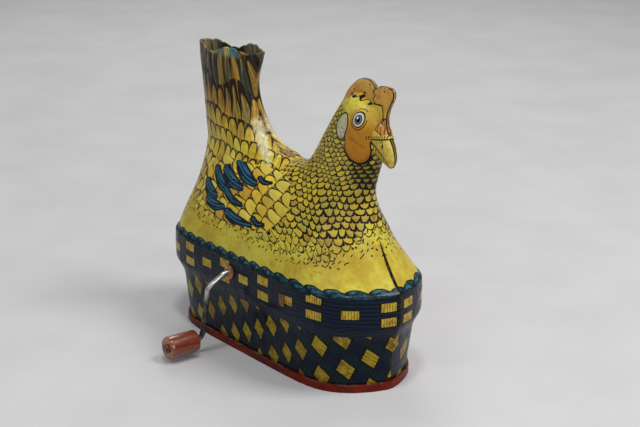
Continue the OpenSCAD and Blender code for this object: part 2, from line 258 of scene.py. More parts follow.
def at(knots, t):
    """Value at t of the smooth curve through the knots."""
    T, V = np.array(knots, float).T
    t = np.clip(np.asarray(t, float), T[0], T[-1])
    i = np.clip(np.searchsorted(T, t, "right") - 1, 0, len(T) - 2)
    a, b = np.maximum(i - 1, 0), np.minimum(i + 2, len(T) - 1)
    h = T[i + 1] - T[i]
    u = (t - T[i]) / h
    m0 = h * (V[i + 1] - V[a]) / (T[i + 1] - T[a])
    m1 = h * (V[b] - V[i]) / (T[b] - T[i])
    return ((2 * u**3 - 3 * u**2 + 1) * V[i] + (u**3 - 2 * u**2 + u) * m0
            + (3 * u**2 - 2 * u**3) * V[i + 1] + (u**3 - u**2) * m1)


def ease(t):
    c = np.clip(t, 0, 1)
    return c * c * (3 - 2 * c)


def mix(a, b, t):
    return a + (b - a) * t


def oval(x, a, b, w):
    """Half width at x of an oval from a to b whose greatest half width is w."""
    r = np.minimum(1, abs(x - (a + b) / 2) / np.maximum((b - a) / 2, 0.1))
    return w * np.sqrt(1 - r * r)


def half(x, z):
    """Half width of the hen at x and z: body, neck and tail run together."""
    x, z = np.broadcast_arrays(np.asarray(x, float), np.asarray(z, float))
    xa, xb, s = at(rear, z), at(front, z), np.clip((z - SHOULDER) / 20, 0, 1)
    u = np.clip(2 * (x - xa) / (xb - xa) - 1, -1, 1)
    g = np.clip((z - SHOULDER) / (SADDLE_Z - SHOULDER), 0, 1)
    ahead = x - SADDLE_X
    h = 0.4 + np.where(ahead > 0, 0.45 * ease((ahead - 2) / 26), 0.35 * ease((-6 - ahead) / 36))
    taper = mix(np.sqrt(np.maximum(0, 1 - g**2.4)), 1 - g**1.3, h)
    plan = np.maximum(0, 1 - abs(u) ** (7 - 4.4 * s)) ** (1 / (1.2 + 0.8 * s))
    body = at(half_w, np.minimum(z, SHOULDER)) * taper * plan
    crown = np.sqrt(np.maximum(0.004, 1 - np.maximum(0, (z - 104) / 12.3) ** 2))
    neck = s * crown * oval(x, np.where(z > SADDLE_Z, at(neck_back, z), SADDLE_X), xb, at(neck_w, z))
    tail = s * oval(x, xa, np.where(z > SADDLE_Z, at(tail_front, z), SADDLE_X), at(tail_w, z))
    return (body**2.6 + neck**2.6 + tail**2.6) ** (1 / 2.6)


# columns of each side of the saddle, and rows; columns crowd towards the seam, where the skin turns in
COLS, TAIL_ROWS, NECK_ROWS = 104, 62, 62
body_z = np.concatenate([np.linspace(FOOT, 21, 15)[:-1], np.linspace(21, 30, 14)[:-1],
                         np.linspace(30, 40, 9)[:-1], np.linspace(40, 44, 10)[:-1],
                         SADDLE_Z - (SADDLE_Z - 44) * (1 - np.linspace(0, 1, 62)) ** 1.75])
NR, NC = len(body_z), 2 * COLS + 1
one_end = 1 - np.cos(pi / 2 * np.arange(COLS + 1) / COLS)
both_ends = (1 - np.cos(pi * np.arange(COLS + 1) / COLS)) / 2


def with_width(x, z):
    return np.stack([x, -half(x, z), z], -1)


def body_grid():
    z = body_z[:, None] + np.zeros((1, NC))
    c = np.arange(NC)
    i = np.where(c <= COLS, c, 2 * COLS - c)
    f = mix(one_end[i][None, :], both_ends[i][None, :], np.clip((z - 60) / 20, 0, 1))
    return with_width(mix(np.where(c <= COLS, at(rear, z), at(front, z)), SADDLE_X, f), z)


def tail_grid():
    """Tail from the saddle up to a rim of rounded feather tips."""
    f = both_ends[None, :] + np.zeros((TAIL_ROWS + 1, 1))
    t = np.linspace(0, 1, TAIL_ROWS + 1)[:, None]
    along, across = mix(-63, -20, f[0]), np.sqrt(np.maximum(0, f[0] - f[0] ** 2)) * 14
    arc = np.cumsum(np.hypot(np.diff(along, prepend=-63), np.diff(across, prepend=0)))
    tip_width, notch_depth = 5.2, 0.9
    notch = 1 - np.sqrt(np.maximum(0, 1 - (2 * np.abs((arc / tip_width + 0.1) % 1 - 0.5)) ** 2.4))
    z = mix(SADDLE_Z, at(tail_rim, f) - notch_depth * notch[None, :] * np.clip((f * (1 - f)) * 40, 0, 1), t)
    return with_width(mix(at(rear, z), at(tail_front, z), f), z)


def neck_grid():
    a = np.linspace(0, 1, NECK_ROWS + 1)[:, None] + np.zeros((1, COLS + 1))
    z = SADDLE_Z + (CROWN - SADDLE_Z) * (1 - (1 - a) ** 1.6)
    return with_width(mix(at(neck_back, z), at(front, z), both_ends[None, :]), z)


body, tail, neck = body_grid(), tail_grid(), neck_grid()


def lengths(p, axis, flat=False):
    """Running length along the grid's lines, seen from the side if flat."""
    d = np.diff(p, axis=axis)
    if flat:
        d = d[..., 1:]
    d = np.linalg.norm(d, axis=-1)
    pad = np.zeros_like(np.take(d, [0], axis=axis))
    return np.cumsum(np.concatenate([pad, d], axis), axis)


def closed(knots, n=6):
    """Smooth closed outline through knots."""
    P = np.array(knots, float)
    A, B, C, D = np.roll(P, 1, 0), P, np.roll(P, -1, 0), np.roll(P, -2, 0)
    square, cube = 2 * A - 5 * B + 4 * C - D, 3 * B - 3 * C + D - A
    out = [B + (C - A) * t / 2 + square * t * t / 2 + cube * t**3 / 2 for t in np.arange(n) / n]
    return np.stack(out, 1).reshape(-1, 2)


def signed(p, q, ring, loop=True):
    """Distance from (p, q) to an outline, positive inside; for an open line, positive to its left."""
    P = np.stack([p, q], -1)[:, None, :]
    A = np.asarray(ring, float)
    B = np.roll(A, -1, 0) if loop else A[1:]
    A = A if loop else A[:-1]
    e = B - A
    w = P - A
    t = np.clip((w * e).sum(-1) / (e * e).sum(-1), 0, 1)
    d = np.linalg.norm(w - t[..., None] * e, axis=-1)
    if loop:
        cond = (A[:, 1] > P[..., 1]) != (B[:, 1] > P[..., 1])
        xi = A[:, 0] + (P[..., 1] - A[:, 1]) * e[:, 0] / np.where(e[:, 1] == 0, 1e-9, e[:, 1])
        inside = (cond & (P[..., 0] < xi)).sum(1) % 2 == 1
        return np.where(inside, d.min(1), -d.min(1))
    j = d.argmin(1)
    r = np.arange(len(j))
    cr = e[j, 0] * w[r, j, 1] - e[j, 1] * w[r, j, 0]
    return np.where(cr > 0, d.min(1), -d.min(1))


def joined(a, b, c):
    """Values at the skin's points, without the rows that tail and neck share with the body."""
    return np.concatenate([a.ravel(), b[1:].ravel(), c[1:].ravel()])


def unrolled():
    """Lengths along the skin: level from the shaft, from the rear seam and to the front one, and up from the
    shoulder."""
    rows = lengths(body, 1)
    total = rows[:, -1:]
    shaft = np.array([np.interp(SHAFT_X, body[r, :, 0], rows[r]) for r in range(NR)])[:, None]
    up = lengths(body, 0, True)
    up = up - up[int(np.argmin(abs(body_z - SHOULDER)))]
    tr, nf = lengths(tail, 1), lengths(neck, 1)
    nf = nf[:, -1:] - nf
    s = joined(rows - shaft, tr - shaft[-1], total[-1] - shaft[-1] - nf)
    sr = joined(rows, tr, total[-1] - nf)
    sf = joined(total - rows, total[-1] - tr, nf)
    L = joined(up, up[-1, :COLS + 1] + lengths(tail, 0, True), up[-1, COLS:] + lengths(neck, 0, True))
    return s, sr, sf, L


def wobble(P, a, b, c):
    """Slow waves that keep drawn rows from lying dead straight."""
    x, z = P[:, 0], P[:, 2]
    return np.sin(x * a + z * b + c) + 0.6 * np.sin(x * b * 1.7 - z * a * 1.3 + 2 * c)


heights = np.linspace(-50, 110, 800)


def row_count(L, pitch):
    """Rows passed on the way up to L, where pitch gives the row's height at each of heights."""
    return np.interp(L, heights, np.cumsum(0.2 / pitch))


def scale_fields(P, s, sf, L):
    """Small scales of the neck and the breast: cu across, cv down the rows, cb their lowest row."""
    pitch = mix(mix(2.8, 2.45, ease((heights - 15) / 12)), 2.0, ease((heights - 30) / 20))
    width = mix(3.75, 3.0, ease((L - 18) / 30))
    low = np.interp(s, [0, 26, 47, 57.5, 61.5, 68, 78], [15, 13.5, 13.2, 14.7, 18.7, 24, 25])
    return {"cv": -row_count(L, pitch) + 0.2 * wobble(P, 0.33, 0.27, 1.0) + 0.05 * wobble(P, 0.9, 0.7, 3.0),
            "cu": sf / width + 0.17 * wobble(P, 0.41, 0.36, 4.0) + 0.04 * wobble(P, 1.0, 0.8, 2.0),
            "cb": -row_count(low, pitch),
            "fringe": L - low + 0.5 * wobble(P, 0.3, 0.2, 2.0)}


def feather_fields(P, s, sr, L):
    """Feathers of the wing, tips up and to the rear, and those of the back, longer and longer up the tail."""
    a = -s * 0.951 + (L - 26) * 0.309
    b = s * 0.309 + (L - 26) * 0.951
    wing = closed([[-34, 20], [-38, 27], [-31, 35], [-17, 39], [-4, 40.5], [8, 40], [18, 37], [23, 31],
                   [24.5, 24], [21, 17], [12, 13], [-2, 13.2], [-14, 13.5], [-25, 15]])
    pitch = mix(mix(4.6, 6.8, ease((heights - 15) / 30)), 17, ease((heights - 48) / 24))
    width = mix(5.0, 4.4, ease((L - 30) / 30))
    return {"wv": a / 7.6 + 0.07 * wobble(P, 0.22, 0.31, 2.0),
            "wu": b / 4.5 + 0.1 * wobble(P, 0.19, 0.28, 5.0),
            "wing": signed(s, L, wing),
            "tv": row_count(L, pitch) + 0.12 * wobble(P, 0.25, 0.2, 3.0),
            "tu": sr / width + 0.1 * wobble(P, 0.16, 0.3, 6.0)}


def quill_fields(s, L):
    """Blue quills of the wing: depth inside the nearest one, and place along and across it."""
    # root, tip, half width
    quills = [(0.4, 31.3, -15, 37.2, 2.55), (-5.9, 27.6, -22.4, 32.4, 2.4), (-13.7, 24.2, -29.5, 30.6, 2.1),
              (-1.5, 21.2, -16, 24.6, 1.4), (-21.5, 20.6, -33.5, 24, 2.3), (-13, 17.6, -27.5, 18.2, 2.0),
              (7.5, 14.6, -9.8, 16.4, 2.1), (9, 34.2, 1, 34.6, 0.9), (15.5, 17.2, 7.5, 18.2, 1.0)]
    best = np.full(len(s), -9.0)
    along = np.zeros(len(s))
    for x0, y0, x1, y1, w in quills:
        e = np.array([x1 - x0, y1 - y0])
        n = np.hypot(*e)
        t = np.clip(((s - x0) * e[0] + (L - y0) * e[1]) / n**2, 0, 1)
        # the quill bows a little and narrows towards its root
        off = ((s - x0) * e[1] - (L - y0) * e[0]) / n + 1.1 * np.sin(t * pi) - 0.4
        past = np.hypot(s - x0 - t * e[0], L - y0 - t * e[1]) * ((t <= 0) | (t >= 1))
        q = w * (0.55 + 0.45 * ease(t * 2.2)) - np.hypot(off, past)
        along = np.where(q > best, t + 2 * np.clip(off / w, -0.45, 0.45), along)
        best = np.maximum(best, q)
    return {"quill": best, "along": along}


def head_fields(x, z):
    """Depth inside the face patch, the ear lobe and the foot of the comb."""
    face = closed([[48.3, 111.6], [45.6, 108.8], [44.6, 104], [44.4, 99], [44.1, 95], [45.8, 91.6],
                   [49.3, 90], [52.6, 91.6], [54.1, 95.5], [54.4, 99], [56, 101], [59, 103], [59.5, 106],
                   [58, 110.8]])
    lobe = closed([[44.1, 109.6], [41.6, 108], [39.6, 104.6], [39.6, 101], [41.2, 98.5], [43.8, 99],
                   [45.3, 102], [46.3, 105.2], [45.9, 108.2]])
    jag = [[33, 108.4], [36.5, 112.3], [38, 113.9], [40.6, 113.6], [42, 115.2], [44, 114.4], [45.8, 115.2],
           [47.6, 113.8], [49.6, 114.6], [50.6, 112.6], [52, 112.9], [54, 113], [60, 113.1]]
    return {"face": signed(x, z, face), "lobe": signed(x, z, lobe), "comb": signed(x, z, jag, False)}


def fields():
    """The skin's points and the smooth coordinates of the print at each."""
    P = np.concatenate([grid.reshape(-1, 3) for grid in (body, tail[1:], neck[1:])])
    s, sr, sf, L = unrolled()
    F = {"s": s, "up": L, "tau": np.where(s < 22, (s - 22) / 25.9, (s - 22) / 30.6)}
    F |= scale_fields(P, s, sf, L) | feather_fields(P, s, sr, L) | quill_fields(s, L)
    return P, F | head_fields(P[:, 0], P[:, 2])


skin, field = fields()
SKIN_POINTS = len(skin)
idx_b = np.arange(NR * NC).reshape(NR, NC)
above = np.arange(NR * NC, SKIN_POINTS).reshape(TAIL_ROWS + NECK_ROWS, COLS + 1)
idx_t = np.concatenate([idx_b[-1:, :COLS + 1], above[:TAIL_ROWS]])
idx_n = np.concatenate([idx_b[-1:, COLS:], above[TAIL_ROWS:]])


def quads(i):
    """Faces between the points of a grid."""
    return np.stack([i[:-1, :-1], i[1:, :-1], i[1:, 1:], i[:-1, 1:]], -1).reshape(-1, 4)


def lining():
    """Inner face of the sheet."""
    n = np.zeros_like(skin)
    for i in (idx_b, idx_t, idx_n):
        g = skin[i]
        d0, d1 = np.gradient(g, axis=0), np.gradient(g, axis=1)
        m = np.cross(d1, d0)
        m /= np.maximum(np.linalg.norm(m, axis=-1, keepdims=True), 1e-9)
        n[i.ravel()] = m.reshape(-1, 3)
    n[:, 1] = -abs(n[:, 1])
    edge = np.concatenate([i[:, end] for i in (idx_b, idx_t, idx_n) for end in (0, -1)])
    n[edge, 1] = 0
    n /= np.maximum(np.linalg.norm(n, axis=1, keepdims=True), 1e-9)
    n[idx_b[-1, COLS]] = n[idx_n[-1]] = (0, 0, 1)
    y = abs(skin[:, 1])
    p = skin - SHEET * n
    p[:, 1] = -np.maximum(y - SHEET * abs(n[:, 1]), 0.12 * y)
    p[idx_b[0], 2] = FOOT
    p[idx_t[-1], 2] = skin[idx_t[-1], 2]
    return p


def mesh_object(name, verts, faces, mats, side, floats, slot_of=None):
    """Smooth object from points of the right half in mm, mirrored where side is 1."""
    v = np.array(verts, float) * MM
    if side > 0:
        v[:, 1] *= -1
    faces = [tuple(int(k) for k in (f[::-1] if side < 0 else f)) for f in faces]
    me = bpy.data.meshes.new(name)
    me.from_pydata(v.tolist(), [], faces)
    for m in mats:
        me.materials.append(m)
    if slot_of is not None:
        me.polygons.foreach_set("material_index", np.asarray(slot_of, np.int32))
    me.polygons.foreach_set("use_smooth", np.full(len(me.polygons), True, bool))
    for k, val in floats.items():
        me.attributes.new(k, "FLOAT", "POINT").data.foreach_set("value", np.asarray(val, np.float32))
    me.update()
    return add_object(name, me)


# ---- print of the two halves
INK, OUTLINE = (20, 15, 11), (5, 7, 10)
YELLOW, GOLD, OCHRE = (198, 186, 68), (182, 158, 54), (150, 118, 40)
ORANGE, CREAM = (182, 124, 26), (198, 194, 160)
TURN, HALF_TURN, QUARTER_TURN = 6.283, 3.1416, 1.5708
NECK_FROM_X = 3.4


class HenPrint(Tree):
    """Tree of the halves' print, with the values that its areas share."""

    def __init__(self):
        super().__init__("hen_printed_tin")
        self.s, self.up, self.tau = (self.attr(name) for name in ("s", "up", "tau"))
        self.big, self.mid = self.grain(0.07, 3, 0.6), self.grain(0.45, 3, 0.6)
        self.fine = self.grain(2.2, 2, 0.6)
        self.on_head = (self.z > 87.5) * (self.x > 15)


def scallop(T, u, v, power=2):
    """Rows of overlapping rounded tips. Gives the distance from the upper feather's middle (1 on its tip's
    line), 1 where that feather covers the point, then the random number, row and sideways offset of the
    feather seen there, and how far along its row the point lies."""
    i = v.floor()
    f = v - i
    o1 = (i - 1).mod(2) * 0.5
    c1 = (u - o1).floor()
    d1 = u - o1 - c1 - 0.5
    r1 = ((d1.abs() * 2) ** power + f ** power) ** (1 / power)
    over = r1 < 1
    o0 = i.mod(2) * 0.5
    c0 = (u - o0).floor()
    d0 = u - o0 - c0 - 0.5
    row = i - over
    d = d0 + (d1 - d0) * over
    col = c0 + (c1 - c0) * over
    return r1, over, T.rnd(row, col, 3), row, d, f


def skirt_print(T):
    """Yellow cane diamonds between blue strips."""
    s, mid, fine = T.s, T.mid, T.fine
    row_pitch = 13.2
    i = (T.tau - 0.08 + s.step(25, 45, 0, 0.085)) * 3
    ic = i.round()
    ds = (i - ic) * 9.4
    dz = T.z - s.step(12, -12, 18.9, 20.9) - ic * 4.4
    dz = dz - (dz / row_pitch).round() * row_pitch
    e1 = ds * 0.262 + dz * 0.2757
    e2 = ds * 0.306 - dz * 0.153
    a1, a2 = e1.abs(), e2.abs()
    m = a1.max(a2) + (mid - 0.5) * 0.1
    strand = (e2 * 13 + (fine - 0.5) * 2.5).sin()
    weave = (a1 - a2 + (mid - 0.5)).step(-0.5, 0.3)
    strip = T.mix(weave, (1, 12, 44), (0, 30, 38))
    strip = T.mix(strand.step(0.1, 0.9, 0, 0.8), strip, (1, 3, 8))
    edge = ((a2 - 1.18).abs() < 0.09) * (a1 < 2.2)
    edge = edge.max(((a1 - 1.2).abs() < 0.08) * (a2 < 2))
    edge = edge.max((m < 1.12) * (m > 0.98))
    rib = (e1 * 12 + mid * 5).sin().step(0.55, 0.95) * a2.step(0.05, 0.7) * 0.75
    cane = T.mix((mid + (T.big - 0.5)).step(0.42, 0.66), (156, 134, 28), (122, 94, 18))
    cane = T.mix(rib, cane, (70, 50, 16))
    return T.mix(m < 0.98, T.mix(edge, strip, OUTLINE), cane)


def belt_print(T):
    """Level blue strands with small yellow squares, two high and one high in turn."""
    z, tau, mid, fine = T.z, T.tau, T.mid, T.fine
    lower = (tau * 10.7 + z * 0.25).sin() * 0.75
    rise = ((tau - 0.5) * HALF_TURN).sin() * tau.step(0.1, 0.9) * 1.25
    zz = z - rise * 0.6 + (tau * TURN).sin() * 0.3 + lower * z.step(31, 28.5) + (mid - 0.5) * 0.5
    q = (zz / 1.62).frac()
    belt = T.mix(q.step(0.2, 0.7, 0.1, 0.9), (1, 9, 36), (3, 32, 52))
    belt = T.mix((q - 0.5).abs().step(0.26, 0.4), belt, (1, 2, 4))
    near = (tau - tau.round()).abs()
    far = (tau - tau.floor() - 0.5).abs()
    wide = tau.step(0.6, 2.2, 0.122, 0.104) + (fine - 0.5) * 0.02
    zn = ((z - rise - 38).abs()).min((z - rise * 0.8 - 31.6).abs()) + (fine - 0.5) * 0.5
    zf = (z - 34.6).abs() + (fine - 0.5) * 0.5 + 0.1
    sq = ((near < wide) * (zn < 1.75)).max((far < wide) * (zf < 1.85))
    rim = ((near < wide + 0.02) * (zn < 2.2)).max((far < wide + 0.02) * (zf < 2.3))
    bars = (tau * 165 + mid * 6).sin().step(0.35, 0.9)
    bars = bars * T.rnd(tau.round(), 1).step(0.2, 0.8, 0.25, 0.8)
    square = T.mix(mid.step(0.4, 0.65), (190, 168, 56), (156, 120, 34))
    square = T.mix(bars, square, (90, 58, 20))
    return T.mix(sq, T.mix(rim, belt, OUTLINE), square)


def rope_print(T):
    """Rope along the top of the basket: colour, top and bottom lines, relief."""
    z, mid = T.z, T.mid
    zb = (z - 41.7) / 2.1
    w = T.tau * 3.4 + (zb.max(-1).min(1) * QUARTER_TURN).sin() * 0.42
    t = w.frac() - 0.5
    arch = t * t * 4
    top = 43.9 - arch * 1.15 + (mid - 0.5) * 0.4
    bottom = arch * 0.9 + 39.9
    lines = (((top - z) * 0.85 + t * 0.8).frac() - 0.5).abs().step(0.3, 0.42)
    shine = t.step(-0.42, -0.05) * t.step(0.42, 0.12) * zb.step(-0.5, 0.3) * zb.step(1.1, 0.7)
    shine = shine * mid.step(0.38, 0.6)
    rope = T.mix(zb.step(-1, 0.9), (8, 24, 38), (20, 58, 68))
    rope = T.mix(shine * 0.75, rope, (70, 116, 130))
    rope = T.mix(lines * 0.85, rope, (6, 13, 20))
    dark = (t.abs() > 0.45).max(top - z < 0.36).max(z - bottom < 0.3)
    rope = T.mix(dark, rope, (6, 9, 12))
    return rope, top, bottom, zb.abs().step(1.3, 0.2) * (0.5 - arch * 0.4)


def basket_print(T):
    """Colour of the basket, 1 where it is, and the relief of its rope."""
    rope, top, bottom, relief = rope_print(T)
    below_back = T.z < 46
    basket = T.mix(T.z > 24.6, skirt_print(T), belt_print(T))
    basket = T.mix((T.z > bottom) * below_back, basket, rope)
    return basket, (T.z < top) * below_back, relief


def flecks(T):
    """1 on short ink strokes strewn over the ground, fewer lower down."""
    vo = T.node("TexVoronoi", voronoi_dimensions="2D", feature="F1")
    c2 = T.vec(T.s * 0.47, T.up * 0.47)
    T.put(vo.inputs["Vector"], c2)
    vo.inputs["Scale"].default_value = 1
    rel = T.node("VectorMath", operation="SUBTRACT")
    T.put(rel.inputs[0], c2)
    T.t.links.new(vo.outputs["Position"], rel.inputs[1])
    rx, ry, _ = T.xyz(Val(T, rel.outputs[0]))
    ra, rb, rc = T.xyz(Val(T, vo.outputs["Color"]))
    ang = ra * TURN
    ca, sa = T.math("COSINE", ang), ang.sin()
    along, across = (rx * ca + ry * sa).abs(), (ry * ca - rx * sa).abs()
    many = (T.attr("fringe") + T.s.step(60, 68) * 5).step(-8.5, -3)
    return (along < rc * 0.26 + 0.18) * (across < 0.12) * (rb < many * 0.95)


def ground_print(T):
    """Yellow ground with age marks and ink flecks."""
    ground = T.mix(T.big.step(0.4, 0.62), YELLOW, GOLD)
    ground = T.mix(T.mid.step(0.52, 0.75) * 0.5, ground, OCHRE)
    ground = T.mix(T.grain(0.16, 4, 0.7).step(0.56, 0.7) * 0.4, ground, (150, 112, 44))
    ground = T.mix(T.fine.step(0.68, 0.74) * 0.5, ground, (120, 96, 34))
    return T.mix(flecks(T), ground, INK)


def scales_print(T, hen):
    """Small scales of the neck and the breast."""
    x, z, mid = T.x, T.z, T.mid
    r1, over, rnd, row, d, f = scallop(T, T.attr("cu"), T.attr("cv"))
    gx, gz = (x - 51.5) / 7.5, (z - 85) / 7
    throat = (gx * gx + gz * gz).step(1.3, 0.1)
    fill = T.ramp(rnd, (0, (214, 194, 62)), (0.4, (204, 176, 56)), (0.7, (188, 182, 74)),
                  (1, (186, 152, 66)))
    fill = T.mix(mid.step(0.5, 0.7) * 0.4, fill, (182, 140, 60))
    chest = x.step(22, 40) * z.step(88, 72) * T.up.step(12, 18)
    fill = T.mix(chest * (T.big + (T.fine - 0.5) * 0.3).step(0.3, 0.6) * 0.5, fill, (150, 126, 58))
    # darker towards the root, where the next feather covers it
    shade = r1.step(1, 1.42, 0.85, 0) * (1 - over)
    fill = T.mix(shade * throat.step(0, 0.5, 0.55, 1), fill, (70, 52, 20))
    fill = T.mix(throat * 0.62, fill, (72, 58, 24))
    barb = (d * 38).sin().step(0.4, 0.9) * f.step(0, 0.5) * over * rnd.step(0.3, 0.5) * 0.75
    fill = T.mix(barb, fill, (96, 70, 24))
    width = 0.08 + f * 0.1 + throat * 0.2 + chest * 0.04 + mid.step(0.35, 0.7, 0, 0.05)
    line = (r1 - 1).abs().step(width + 0.04, width - 0.03)
    scales = T.mix(line, fill, (28, 20, 10))
    # whole scales stop at a ragged lower edge, and the lines of tips go one row further
    lowest = T.attr("cb")
    drawn = (row + 2 + (rnd - 0.5) * 1.6) < lowest
    shown = (drawn * (x > NECK_FROM_X)).max((row + 1 < lowest) * (x > NECK_FROM_X) * line * over)
    return T.mix(shown, hen, scales)


def back_print(T, hen):
    """Feathers of the back and the tail, longer and darker up the tail."""
    x, y, z, up, mid = T.x, T.y, T.z, T.up, T.mid
    tu, tv = T.attr("tu"), T.attr("tv")
    r1, over, rnd, _, d, f = scallop(T, tu, tv, 2.3)
    rear_dark = x.step(-38, -50)
    high = (up + (mid - 0.5) * 8 - x.step(-44, -58) * 6).step(49, 62)
    yellows = T.ramp(rnd, (0, (220, 198, 68)), (0.4, (212, 182, 56)), (0.75, (194, 158, 54)),
                     (1, (224, 210, 98)))
    browns = T.ramp((rnd + rear_dark * 0.7).min(1), (0, (190, 144, 50)), (0.3, (152, 110, 38)),
                    (0.5, (134, 116, 56)), (0.68, (84, 80, 52)), (0.82, (44, 74, 76)), (1, (30, 54, 62)))
    fill = T.mix(high, yellows, browns)
    warm = up.step(44, 50) * up.step(66, 58) * x.step(-24, -30)
    fill = T.mix(rnd.step(0.62, 0.7) * warm * 0.8, fill, (196, 146, 52))
    brown = T.noise(T.vec(tu * 3, tv * 0.9 + 9), 1, 3, 0.6).step(0.4, 0.62)
    fill = T.mix(up.step(34, 54) * brown * 0.5, fill, (112, 84, 34))
    streak = T.noise(T.vec(tu * 5, tv * 0.8), 1, 2, 0.6).step(0.48, 0.66)
    fill = T.mix(streak * high.step(0, 1, 0.3, 0.85), fill, (52, 40, 20))
    pale = T.noise(T.vec(tu * 7, tv * 1.1 + 4), 1, 2, 0.6)
    fill = T.mix(pale.step(0.56, 0.64) * high * rnd.step(0.75, 0.6) * 0.8, fill, (176, 150, 84))
    glint = (d + 0.12).abs().step(0.09, 0.03) * f.step(0.1, 0.6) * over * high
    fill = T.mix(glint * 0.6, fill, (196, 160, 72))
    shade = r1.step(1, 1.5, 0.8, 0) * (1 - over)
    fill = T.mix(shade, fill, (44, 34, 18))
    width = 0.05 + f * 0.04 + high * 0.05
    line = (r1 - 1).abs().step(width + 0.05, width - 0.02)
    back = T.mix(line, fill, (36, 28, 16))
    # painted highlight: rolled tips at the rim are painted blue and cream, as lit edges
    roll = z.step(116.4, 118.8) * x.step(-54, -49) * x.step(-26, -31)
    roll = roll * d.abs().step(0.42, 0.3)
    back = T.mix(roll * 0.8, back, T.mix(rnd > 0.5, (72, 118, 130), (186, 174, 108)))
    # painted highlight: a pale glare patch painted on the slope in front of the tail
    lean = (x - y.abs() * 1.2 + 19.6 + (z - 85.5) * 0.6) * 0.21
    wear_and_glare = (lean * lean + ((z - 85.5) * 0.11) ** 2 + (mid - 0.5) * 2).step(1.2, 0.1)
    back = T.mix(wear_and_glare * 0.62, back, (226, 219, 184))
    from_up = T.s.step(-34, -12, 13.5, 11.5) + (rnd - 0.5) * 5
    return T.mix((up > from_up) * (x < NECK_FROM_X), hen, back)


def quills_print(T, wing):
    """Blue quills with a dark shaft and a pale glint."""
    quill, al = T.attr("quill"), T.attr("along")
    side = al - al.floor() - 0.5
    blue = T.mix((side + 0.05 + (T.mid - 0.5) * 0.5).abs().step(0.1, 0.4), (34, 96, 122), (9, 27, 46))
    blue = T.mix((T.rnd(al.floor(), 2) + (T.mid - 0.5) * 1.2).step(0.5, 0.9) * 0.5, blue, (12, 34, 40))
    glint = (side + 0.16).abs().step(0.08, 0.02) * T.fine.step(0.42, 0.62)
    blue = T.mix(glint * 0.6, blue, (130, 168, 176))
    blue = T.mix(quill.step(0.6, 0.3), blue, (10, 16, 24))
    wing = T.mix(quill > 0, wing, blue)
    return T.mix((quill < 0) * (quill > -0.4), wing, (52, 44, 22))


def wing_print(T, hen):
    """Long feathers of the wing, its quills and the shadow along its lower edge."""
    wu, wv = T.attr("wu"), T.attr("wv")
    r1, over, rnd, _, d, _ = scallop(T, wu, wv, 2.8)
    fill = T.ramp(rnd, (0, (216, 192, 68)), (0.35, (206, 170, 52)), (0.6, (222, 206, 90)),
                  (0.85, (200, 160, 56)), (1, (176, 140, 52)))
    fill = T.mix(r1.step(1, 1.5, 0.75, 0) * (1 - over), fill, (60, 46, 18))
    hatch = (wu * 34 + wv * 5).sin().step(0.5, 0.95) * rnd.step(0.35, 0.45) * d.step(0.45, -0.3)
    fill = T.mix(hatch * 0.7, fill, (98, 74, 24))
    line = (r1 - 1).abs().step(0.115, 0.04)
    wing = quills_print(T, T.mix(line, fill, (36, 28, 14)))
    inside = T.attr("wing") + (rnd - 0.5) * 3
    wing = T.mix((inside < 0.4) * (T.up < 17.5) * (T.s < 16), wing, (44, 34, 16))
    return T.mix(inside > 0, hen, wing)


def crown_print(T, hen):
    """Plain speckled yellow of the top of the head."""
    cap = T.mix(T.mid.step(0.4, 0.7), (198, 186, 70), (182, 164, 60))
    cap = T.mix(T.fine.step(0.6, 0.68) * 0.7, cap, (84, 74, 28))
    upper = (T.z + T.x * 0.45).step(128, 130.5) * T.on_head
    return T.mix(upper * (T.attr("face") < 0), hen, cap)


def face_print(T, hen):
    """Orange face with hatch strokes round the wattle and across the cheek."""
    x, z, mid, face = T.x, T.z, T.mid, T.attr("face")
    flesh = T.mix(z.step(113.5, 102.5), (200, 178, 74), ORANGE)
    flesh = T.mix(z.step(98, 90) * 0.6, flesh, (168, 96, 18))
    flesh = T.mix(mid.step(0.48, 0.7) * 0.4, flesh, (168, 112, 36))
    turn = T.math("ARCTAN2", z - 97.5, x - 49.3)
    tick = (turn * 40 + mid * 2).sin().step(0.45, 0.8)
    low = face.step(1.7, 1.1) * z.step(94.6, 93.4) * (face > 0.25)
    cheek = (z + x * 0.62 - 129.4 + (mid - 0.5) * 1.2).abs().step(0.75, 0.35) * (x > 46.2) * (x < 52.4)
    strokes = (tick * low).max((x * 8.5).sin().step(0.3, 0.7) * cheek)
    flesh = T.mix(strokes * 0.85, flesh, (60, 30, 12))
    flesh = T.mix(face.step(0.5, 0.34) * z.step(109.5, 107), flesh, INK)
    hen = T.mix((face > 0) * T.on_head, hen, flesh)
    under = (face < 0) * (face > -0.55) * z.step(96, 93) * T.on_head
    return T.mix(under, hen, INK)


def ear_print(T, hen):
    """Cream ear lobe."""
    lobe = T.attr("lobe")
    ear = T.mix(T.grain(0.9, 3, 0.7).step(0.42, 0.66), CREAM, (150, 146, 112))
    ear = T.mix(lobe.step(0.62, 0.42), ear, INK)
    return T.mix((lobe > 0) * T.on_head, hen, ear)


